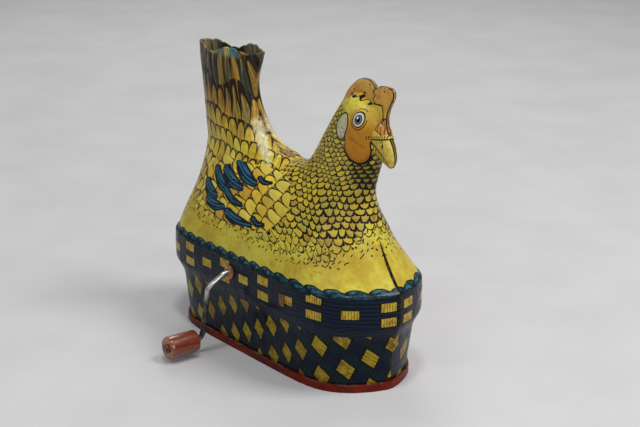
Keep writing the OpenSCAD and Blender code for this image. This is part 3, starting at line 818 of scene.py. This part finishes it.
def eye_print(T, hen):
    """Eye of rings round a pupil with a glint, and the lines of lid and brow."""
    ex, ez = (T.x - 50.3) / 2.05, (T.z - 107.6) / 2.75
    er = (ex * ex + ez * ez).sqrt()
    eye = T.mix(er.step(0.7, 0.64), (196, 194, 176), (12, 16, 28))
    eye = T.mix(er.step(0.58, 0.5), eye, (104, 112, 134))
    eye = T.mix(er.step(0.42, 0.34), eye, (10, 12, 30))
    gl = ((ex + 0.16) * (ex + 0.16) + (ez - 0.22) * (ez - 0.22)).sqrt()
    eye = T.mix(gl.step(0.15, 0.1), eye, (236, 238, 240))
    eye = T.mix(er.step(0.9, 0.97), eye, INK)
    hen = T.mix((er < 1.12) * T.on_head, hen, eye)
    lid = (er - 1.38).abs().step(0.1, 0.05) * ez.step(0.1, -0.1)
    brow = (er - 1.42).abs().step(0.09, 0.04) * (ez - ex * 0.4).step(0.5, 0.8) * 0.7
    return T.mix(lid.max(brow) * T.on_head, hen, (52, 34, 14))


def comb_foot_print(T, hen):
    """Ticks over the beak's corner, and the comb's orange foot with its dark blocks."""
    x, z, comb = T.x, T.z, T.attr("comb")
    ticks = (x * 9).sin().step(0.1, 0.6) * (z > 100.2) * (z < 101.8) * (x > 53)
    hen = T.mix(ticks, hen, INK)
    foot = T.mix(T.mid.step(0.4, 0.7), (214, 164, 64), (190, 134, 46))
    blocks = (x * 2.3 + 1.1).sin().step(-0.2, 0.2, 0.22, 0.95) * z.step(109, 111.5, 0.28, 1)
    foot = T.mix(comb < blocks.max(0.34), foot, INK)
    return T.mix((comb > 0) * T.on_head, hen, foot)


def open_seam(T, color):
    """Painted shade: a dark line painted where the halves stand slightly apart down the lower breast, for the
    shadow in the gap.
    """
    x, z = T.x, T.z
    gap = z.step(60, 50, 0.2, 0.75) * z.step(25, 41, 0.45, 1)
    dark = (T.y.abs() < gap) * (x > 30) * (z > 24) * (z < 59.5)
    return T.mix(dark, color, (14, 9, 6))


def wear(T, color):
    """Colour with rubbed seams, chips to bare metal and grime, and 1 on the chips."""
    mid = T.mid
    seam = T.y.abs().step(1.6, 0.1) * mid.step(0.42, 0.62)
    color = T.mix(seam * 0.7, color, (66, 46, 26))
    chip = T.grain(0.33, 6, 0.75).step(0.735, 0.75)
    color = T.mix(chip, color, (112, 92, 68))
    grime = T.z.step(6, 2.5) * mid.step(0.4, 0.62)
    return T.mix(grime * 0.55, color, (58, 34, 22)), chip


def litho():
    T = HenPrint()
    hen = ground_print(T)
    for lay in (scales_print, back_print, wing_print, crown_print, face_print, ear_print, eye_print,
                comb_foot_print):
        hen = lay(T, hen)
    basket, on_basket, rope_relief = basket_print(T)
    color, chip = wear(T, open_seam(T, T.mix(on_basket, hen, basket)))
    rough = T.mid.step(0.3, 0.7, 0.27, 0.42) + chip * 0.2
    on_hen = 1 - on_basket
    crumple = T.grain(0.16, 2, 0.5)
    press = on_hen * T.up.step(8, 20) * T.grain(0.3, 1, 0.5) * 1.1
    bump = crumple * 1.3 + press + T.grain(0.55, 0, 0.5) * 0.22 * on_hen + T.fine * 0.008
    bump = bump + on_basket * rope_relief * 0.5 - chip * 0.05
    return T.finish(color, rough, bump, depth=1, coat=0.17, coat_rough=0.09, spec=0.08, strength=0.6)


def front_strip(x, z):
    """Distance in front of the line that parts the face from the comb above the beak."""
    parting = z.step(104.7, 109.3, 55.5, 57.2) - z.step(109.3, 113, 0, 0.7)
    return x - (parting + z.step(104.7, 102.2, 0, 3))


def comb_print():
    T = Tree("comb_printed_tin")
    x, z = T.x, T.z
    mid = T.grain(0.5, 3, 0.6)
    c = T.mix(mid.step(0.38, 0.68), (210, 162, 68), (186, 130, 44))
    # painted highlight: the comb is painted lighter towards its top
    c = T.mix(z.step(118.5, 121.5) * 0.5, c, (232, 192, 112))
    c = T.mix(z.step(110, 104) * 0.4, c, (184, 112, 36))
    # shading strokes, the line between the two lobes and the edge of the face
    ahead = front_strip(x, z)
    strokes = (x * 6 + z * 2).sin().step(0.3, 0.7) * z.step(108, 106.5)
    c = T.mix(strokes * 0.85, c, (58, 34, 14))
    lobe = (x - 51.8 + (z * 2.2).sin() * 0.5).abs().step(0.4, 0.2) * (z > 113)
    lobe = lobe.max((z - 113.2).abs().step(0.4, 0.2) * (x > 51.6) * (x < 56.6))
    face = T.mix(z.step(113.5, 104), (204, 184, 76), (194, 154, 52))
    c = T.mix((z < 113.2) * (ahead < 0), c, face)
    lobe = lobe.max(ahead.abs().step(0.38, 0.2) * (z < 113.3))
    knot = (T.rnd((x * 0.7).floor(), (z * 0.7).floor()) > 0.93) * (T.grain(0.8, 1) > 0.5)
    c = T.mix(lobe.max(knot), c, INK)
    # ink along the comb's outline on its face is print; on the rounded rim the ink is painted shade
    c = T.mix((T.attr("edge") + (mid - 0.5) * 0.2).step(0.34, 0.14), c, INK)
    dents = T.grain(0.35, 2) * 0.5 + T.grain(2.5, 2) * 0.02
    rough = mid.step(0.3, 0.7, 0.28, 0.42)
    return T.finish(c, rough, dents, depth=0.8, coat=0.18, spec=0.25, strength=0.5)


def beak_print():
    T = Tree("beak_printed_tin")
    x, z = T.x, T.z
    mid = T.grain(0.6, 3, 0.6)
    t, v = T.attr("t"), T.attr("v")
    c = T.mix(mid.step(0.35, 0.7), (204, 178, 58), (174, 140, 44))
    c = T.mix(v.step(0.55, 0.9) * 0.35, c, (216, 200, 110))
    mouth = v - 0.36 - t * 0.1
    lower = (t * 60 + v * 16).sin().step(0.2, 0.7) * (mouth < -0.02)
    c = T.mix(lower * 0.7, c, (60, 44, 18))
    c = T.mix(mouth.abs().step(0.045, 0.02), c, INK)
    # nostril: a ring with strokes in it
    nx, nv = (t - 0.38) / 0.1, (v - 0.72 + (t - 0.38) * 0.5) / 0.06
    nr = (nx * nx + nv * nv).sqrt()
    c = T.mix((nr - 0.9).abs().step(0.35, 0.15) * (nv > -0.3), c, INK)
    c = T.mix((t * 90).sin().step(0.3, 0.7) * nr.step(0.95, 0.8) * (nv < 0.2), c, INK)
    rim = v.step(0.06, 0.035).max(v.step(0.972, 0.99)).max(t.step(0.96, 0.985))
    c = T.mix(rim, c, INK)
    # root of the beak: its outline, then the ticked feathers and the strip of comb above it
    root = z - 100 - (x - 55) * 0.12
    c = T.mix((root - 0.45).abs().step(0.4, 0.2), c, INK)
    ahead = front_strip(x, z)
    tuft = T.mix((x * 9).sin().step(0.2, 0.6) * (root < 1.9), (200, 172, 64), INK)
    strip = T.mix((x * 6 + z * 2).sin().step(0.3, 0.7) * 0.8, (190, 124, 42), INK)
    tuft = T.mix((ahead > 0) * (root > 2.2), tuft, strip)
    tuft = T.mix(ahead.abs().step(0.38, 0.2) * (root > 2), tuft, INK)
    c = T.mix(root > 0.7, c, tuft)
    dents = T.grain(0.6, 2) * 0.4
    rough = mid.step(0.3, 0.7, 0.28, 0.42)
    return T.finish(c, rough, dents, depth=0.6, coat=0.18, spec=0.25, strength=0.4)


def bare_tin(name, tone, rust, tips=False):
    T = Tree(name)
    flow = T.grain(0.22, 4, 0.6)
    spangle = T.grain(1.6, 3, 0.7)
    c = T.mix(flow.step(0.35, 0.7), tone, tuple(int(k * 0.62) for k in tone))
    c = T.mix(spangle.step(0.5, 0.75) * 0.4, c, tuple(int(k * 0.8) for k in tone))
    r = T.grain(0.4, 5, 0.7).step(0.62 - 0.12 * rust, 0.72 - 0.12 * rust)
    c = T.mix(r * rust, c, (104, 66, 38))
    scratch = T.noise(T.scale(T.P, (0.35, 4, 5)), 1, 2, 0.6)
    rough = spangle.step(0.3, 0.7, 0.3, 0.5) + r * 0.3
    metal = 0.75
    if tips:
        # painted light: inside the rim at the tail's back and front, light streaked tones like the printed
        # outside are painted, so only the middle of the opening looks dark
        x, z = T.x, T.z
        lit_rim_inside = z.step(110, 116) * x.step(-55, -59.5).max(x.step(-43, -39))
        tu, tv = T.attr("tu"), T.attr("tv")
        streak = T.noise(T.vec(tu * 4, tv * 0.8), 1, 3, 0.6)
        hue = T.mix(T.rnd(tu.floor(), 5), (160, 150, 128), (150, 130, 78))
        c = T.mix(lit_rim_inside, c, T.mix(streak.step(0.4, 0.62), hue, (56, 52, 44)))
        metal = lit_rim_inside.step(0, 1, 0.75, 0.1)
    relief = spangle * 0.05 + scratch * 0.06 + r * 0.04
    return T.finish(c, rough, relief, depth=0.25, metal=metal, strength=0.6)


def tabs():
    T = Tree("rusty_tab")
    n, f = T.grain(0.8, 4, 0.7), T.grain(4, 3, 0.6)
    c = T.mix(n.step(0.36, 0.62), (150, 104, 60), (84, 52, 30))
    c = T.mix(f.step(0.55, 0.7) * 0.6, c, (52, 32, 22))
    rough = f.step(0.3, 0.7, 0.42, 0.75)
    return T.finish(c, rough, n * 0.2 + f * 0.08, depth=0.3, metal=0.35, strength=0.7)


def red_tin():
    T = Tree("red_painted_tin")
    big, n, f = T.grain(0.1, 3, 0.6), T.grain(0.5, 4, 0.65), T.grain(3, 3, 0.6)
    c = T.mix(big.step(0.35, 0.65), (112, 26, 8), (82, 18, 7))
    c = T.mix(n.step(0.5, 0.72) * 0.6, c, (62, 20, 14))
    # real wear here: paint rubbed through to bare metal, most on top of the lip
    wear_and_glare = (n + T.z.step(2.4, 3.15, 0, 0.16)).step(0.66, 0.7)
    c = T.mix(wear_and_glare, c, (96, 72, 56))
    c = T.mix(T.z.step(0.7, 0.05) * f.step(0.4, 0.6) * 0.8, c, (52, 30, 24))
    rough = n.step(0.3, 0.7, 0.32, 0.5) + wear_and_glare * 0.2
    dents = T.grain(0.25, 2) * 0.8 + f * 0.03 - wear_and_glare * 0.08
    return T.finish(c, rough, dents, depth=0.6, coat=0.05, spec=0.1, strength=0.5)


def steel_wire():
    T = Tree("steel_wire")
    n, f = T.grain(0.35, 4, 0.65), T.noise(T.scale(T.P, (3, 3, 0.6)), 1, 3, 0.6)
    tarnish = (T.z.step(31, 22) * T.z.step(4, 9, 0.6, 1) + (n - 0.5) * 0.8).clamp()
    c = T.mix(n.step(0.35, 0.65), (206, 206, 204), (160, 160, 158))
    c = T.mix(tarnish * 0.92, c, (50, 42, 30))
    c = T.mix(f.step(0.6, 0.7) * tarnish.step(0.2, 0.8) * 0.7, c, (92, 56, 30))
    rough = tarnish.step(0, 1, 0.24, 0.5)
    return T.finish(c, rough, f * 0.12 + n * 0.1, depth=0.12, metal=0.9, strength=0.6)


def grip_wood():
    T = Tree("varnished_wood_grip")
    warp = T.noise(T.scale(T.P, (1.1, 0.12, 1.1)), 1, 3, 0.6)
    ring = (warp * 34).sin().step(-0.6, 1)
    pore = T.noise(T.scale(T.P, (5, 0.5, 5)), 1, 2, 0.5).step(0.56, 0.66)
    c = T.mix(ring, (134, 56, 26), (84, 30, 15))
    c = T.mix(pore * 0.55, c, (56, 20, 12))
    # the varnish is rubbed off most at the two ends
    near_end = (T.y + 48.4).abs().step(5.5, 6.8, 0, 0.17)
    rubbed = (T.grain(0.45, 4, 0.7) + near_end).step(0.62, 0.68)
    c = T.mix(rubbed * 0.75, c, (172, 104, 64))
    rough = ring.step(0, 1, 0.24, 0.34) + rubbed * 0.25
    relief = ring * 0.06 + (T.y * 9).sin() * 0.5 * 0.05 - pore * 0.1
    return T.finish(c, rough, relief, depth=0.2, coat=0.8, coat_rough=0.1, strength=0.5)


def copper():
    T = Tree("copper_eyelet")
    n, f = T.grain(0.9, 4, 0.7), T.grain(4, 3, 0.6)
    c = T.mix(n.step(0.38, 0.64), (206, 142, 98), (128, 78, 46))
    c = T.mix(f.step(0.6, 0.72) * 0.6, c, (64, 44, 32))
    rough = n.step(0.3, 0.7, 0.28, 0.55)
    return T.finish(c, rough, n * 0.1 + f * 0.06, depth=0.2, metal=0.8, strength=0.6)


def plain_wood():
    T = Tree("plain_wood")
    w = T.noise(T.scale(T.P, (0.5, 0.08, 0.5)), 1, 3, 0.6)
    ring = (w * 40).sin().step(-0.7, 1)
    pore = T.noise(T.scale(T.P, (4, 0.5, 4)), 1, 2, 0.5).step(0.55, 0.66)
    c = T.mix(pore * 0.4, T.mix(ring, (206, 172, 122), (176, 136, 88)), (120, 84, 50))
    return T.finish(c, ring.step(0, 1, 0.5, 0.66), ring * 0.1 - pore * 0.15, depth=0.2, strength=0.6)


def spring_steel():
    T = Tree("spring_steel")
    n, f = T.grain(0.4, 3, 0.6), T.noise(T.scale(T.P, (0.5, 4, 4)), 1, 3, 0.6)
    c = T.mix(n.step(0.35, 0.66), (120, 126, 140), (72, 78, 96))
    c = T.mix(f.step(0.58, 0.72) * 0.5, c, (150, 120, 84))
    return T.finish(c, f.step(0.3, 0.7, 0.25, 0.42), f * 0.1, depth=0.1, metal=0.9, strength=0.5)


def floor_paper():
    T = Tree("floor_paper")
    n = T.grain(0.02, 3, 0.5)
    c = T.mix(n.step(0.3, 0.7), (198, 198, 200), (192, 192, 194))
    return T.finish(c, 0.85, T.grain(1.4, 2) * 0.1, depth=0.1, strength=0.3)


# ---- the two pressed halves
SIDES = {-1: "right", 1: "left"}
TIN = bare_tin("inner_tin", (98, 94, 86), 0.6, tips=True)
LITHO, COMB, BEAK = litho(), comb_print(), beak_print()


def open_cells():
    """Faces of the skin without the shaft's hole and the egg doorway."""
    cells = np.concatenate([quads(i) for i in (idx_b, idx_t, idx_n)])
    corner = skin[cells]
    x, y, z = corner.mean(1).T
    in_hole = np.hypot(corner[..., 0] - SHAFT_X, corner[..., 2] - SHAFT_Z).max(1) < SHAFT_HOLE
    in_door = (x < DOOR_REAR) & (abs(y) < DOOR_HALF) & (z > DOOR_LOW) & (z < DOOR_HIGH)
    return cells[~(in_hole | in_door)]


def sheet():
    """Points, faces and slots of one half: skin, lining and the cut edges between them."""
    cells = open_cells()
    edges = {}
    for q in cells.tolist():
        for a, b in zip(q, q[1:] + q[:1]):
            edges[(a, b)] = True
    cut = [[b, a, a + SKIN_POINTS, b + SKIN_POINTS] for a, b in edges if (b, a) not in edges]
    faces = cells.tolist() + (cells[:, ::-1] + SKIN_POINTS).tolist() + cut
    printed, bare = 0, 1
    slots = np.repeat([printed, bare, printed], [len(cells), len(cells), len(cut)])
    return np.concatenate([skin, lining()]), faces, slots


points, faces, slots = sheet()
printed_at = {k: np.concatenate([v, v]) for k, v in field.items()}

comb_knots = [[30.6, 107], [33.7, 111.8], [36.6, 116.2], [41.2, 120.2], [45.3, 121.8], [49, 121.6],
              [51.3, 120.2], [52.5, 118.9], [54.6, 120.3], [58.8, 120.8], [61.8, 119.7], [62.4, 117.4],
              [61, 114.4], [59.6, 111.6], [58.7, 108], [59.3, 104.6], [60, 102.4], [55, 101], [50, 107],
              [41, 111], [34, 106.4]]
# part of the way to the tip, then place and height
beak_top = [[0, 55, 107.5], [0.2, 58.4, 105.2], [0.4, 60.6, 101.8], [0.6, 62.8, 97.8], [0.8, 63.7, 93.6],
            [1, 62.6, 90.3]]
beak_low = [[0, 50.5, 96], [0.3, 53.5, 94.1], [0.6, 56.6, 91.9], [1, 60.9, 89.7]]


def fill_ring(verts, base, n, clockwise):
    """Triangles over the ring of n points from base, clockwise or not as seen from the hen's right."""
    flat = [Vector((verts[base + i][0], verts[base + i][2], 0)) for i in range(n)]
    faces = []
    for tri in tessellate_polygon([flat]):
        a, b, c = (flat[i] for i in tri)
        is_clockwise = (b - a).cross(c - a).z < 0
        order = tri if is_clockwise == clockwise else tri[::-1]
        faces.append([base + i for i in order])
    return faces


def comb_half(side):
    """Rounded plate of the comb, from the seam out to its flat face."""
    ring = closed(comb_knots, 8)
    n = len(ring)
    along = np.roll(ring, -1, 0) - np.roll(ring, 1, 0)
    along /= np.linalg.norm(along, axis=1, keepdims=True)
    inward = np.stack([-along[:, 1], along[:, 0]], 1)
    if np.median(signed(*(ring + 0.2 * inward).T, ring)) < 0:
        inward = -inward
    # how far in from the outline, and how far out from the seam
    steps = [(0.2, 0.11), (0.03, 0.16), (0.0, 0.35), (0.02, 0.6), (0.14, 0.8), (0.34, 0.92), (0.62, 0.98),
             (0.95, 1.0)]
    verts, edge = [], []
    for off, y in steps:
        p = ring + off * inward
        p[:, 0] = np.clip(p[:, 0], ring[:, 0].min(), ring[:, 0].max())
        verts += [[a, -y, b] for a, b in p]
        # on the face, edge is the way in from the outline; on the rim it is 0.1, inked as painted shade, and
        # next to the seam 0.6, not inked
        edge += [off if y > 0.7 else 0.6 if y < 0.3 else 0.1] * n
    faces = []
    for j in range(len(steps) - 1):
        for i in range(n):
            k = (i + 1) % n
            faces.append([j * n + i, j * n + k, (j + 1) * n + k, (j + 1) * n + i])
    x, z = ring.T
    ring_ccw = bool((x * np.roll(z, -1) - np.roll(x, -1) * z).sum() > 0)
    faces += fill_ring(verts, 0, n, ring_ccw) + fill_ring(verts, len(verts) - n, n, not ring_ccw)
    return mesh_object(f"comb_{SIDES[side]}", verts, faces, [COMB], side, {"edge": edge})


def beak_half(side):
    """Curved wedge of the beak with a crease along the mouth."""
    along, round_ = 44, 30
    verts, ts, vs = [], [], []
    for i in range(along + 1):
        t = i / along
        w = (0.7 + 3.9 * (1 - t) ** 0.8) * (1 - max(0, (t - 0.93) / 0.07) ** 2 * 0.6)
        (x0, z0), (x1, z1) = ([float(at([[p[0], p[j]] for p in line], t)) for j in (1, 2)]
                              for line in (beak_low, beak_top))
        for j in range(round_ + 1):
            a = pi * j / round_
            v = (1 - cos(a)) / 2
            crease = 0.3 * np.exp(-((v - 0.36 - 0.1 * t) / 0.05) ** 2) * (1 - t)
            verts.append([mix(x0, x1, v), -0.16 - max(0, w * sin(a) - crease), mix(z0, z1, v)])
            ts.append(t)
            vs.append(v)
    k = np.arange(len(verts)).reshape(along + 1, round_ + 1)
    faces = [[k[i, j], k[i, j + 1], k[i + 1, j + 1], k[i + 1, j]]
             for i in range(along) for j in range(round_)]
    faces += [[k[i, 0], k[i + 1, 0], k[i + 1, -1], k[i, -1]] for i in range(along)]
    faces += [list(k[0, ::-1]), list(k[-1])]
    return mesh_object(f"beak_{SIDES[side]}", verts, faces, [BEAK], side, {"t": ts, "v": vs})


for side, label in SIDES.items():
    shell = mesh_object(f"hen_{label}", points, faces, [LITHO, TIN], side, printed_at, slots)
    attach(shell, "hen")
    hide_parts(f"{label}_shell")
    for o in (comb_half(side), beak_half(side)):
        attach(o, "hen")

# ---- materials of the carried-over nodes
made_of = {
    red_tin(): ["base_pan"],
    tabs(): ["seam_tabs", "bridge_tabs", "shaft_clip", "grip_washer"],
    bare_tin("plain_tinplate", (168, 166, 160), 0.45): [
        "base_tabs", "wheel_discs", "bridge_plate", "egg_chute", "chute_posts", "egg_ramp"],
    steel_wire(): ["crank_wire", "wheel_pin", "clapper_pin"],
    grip_wood(): ["crank_grip"],
    copper(): ["eyelet_near", "eyelet_far"],
    plain_wood(): ["egg_wheel", "spacer_near", "spacer_mid", "spacer_far"],
    spring_steel(): ["cackle_wheel", "clapper", "clapper_spring"],
}
for mat, names in made_of.items():
    for n in names:
        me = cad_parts[n].data
        if len(me.materials) == 0:
            me.materials.append(mat)
        for j in range(len(me.materials)):
            me.materials[j] = mat

# ---- floor
bpy.ops.mesh.primitive_plane_add(size=6, location=(0, 0, 0))
ground = bpy.context.object
ground.name = "studio_floor"
ground.data.materials.append(floor_paper())
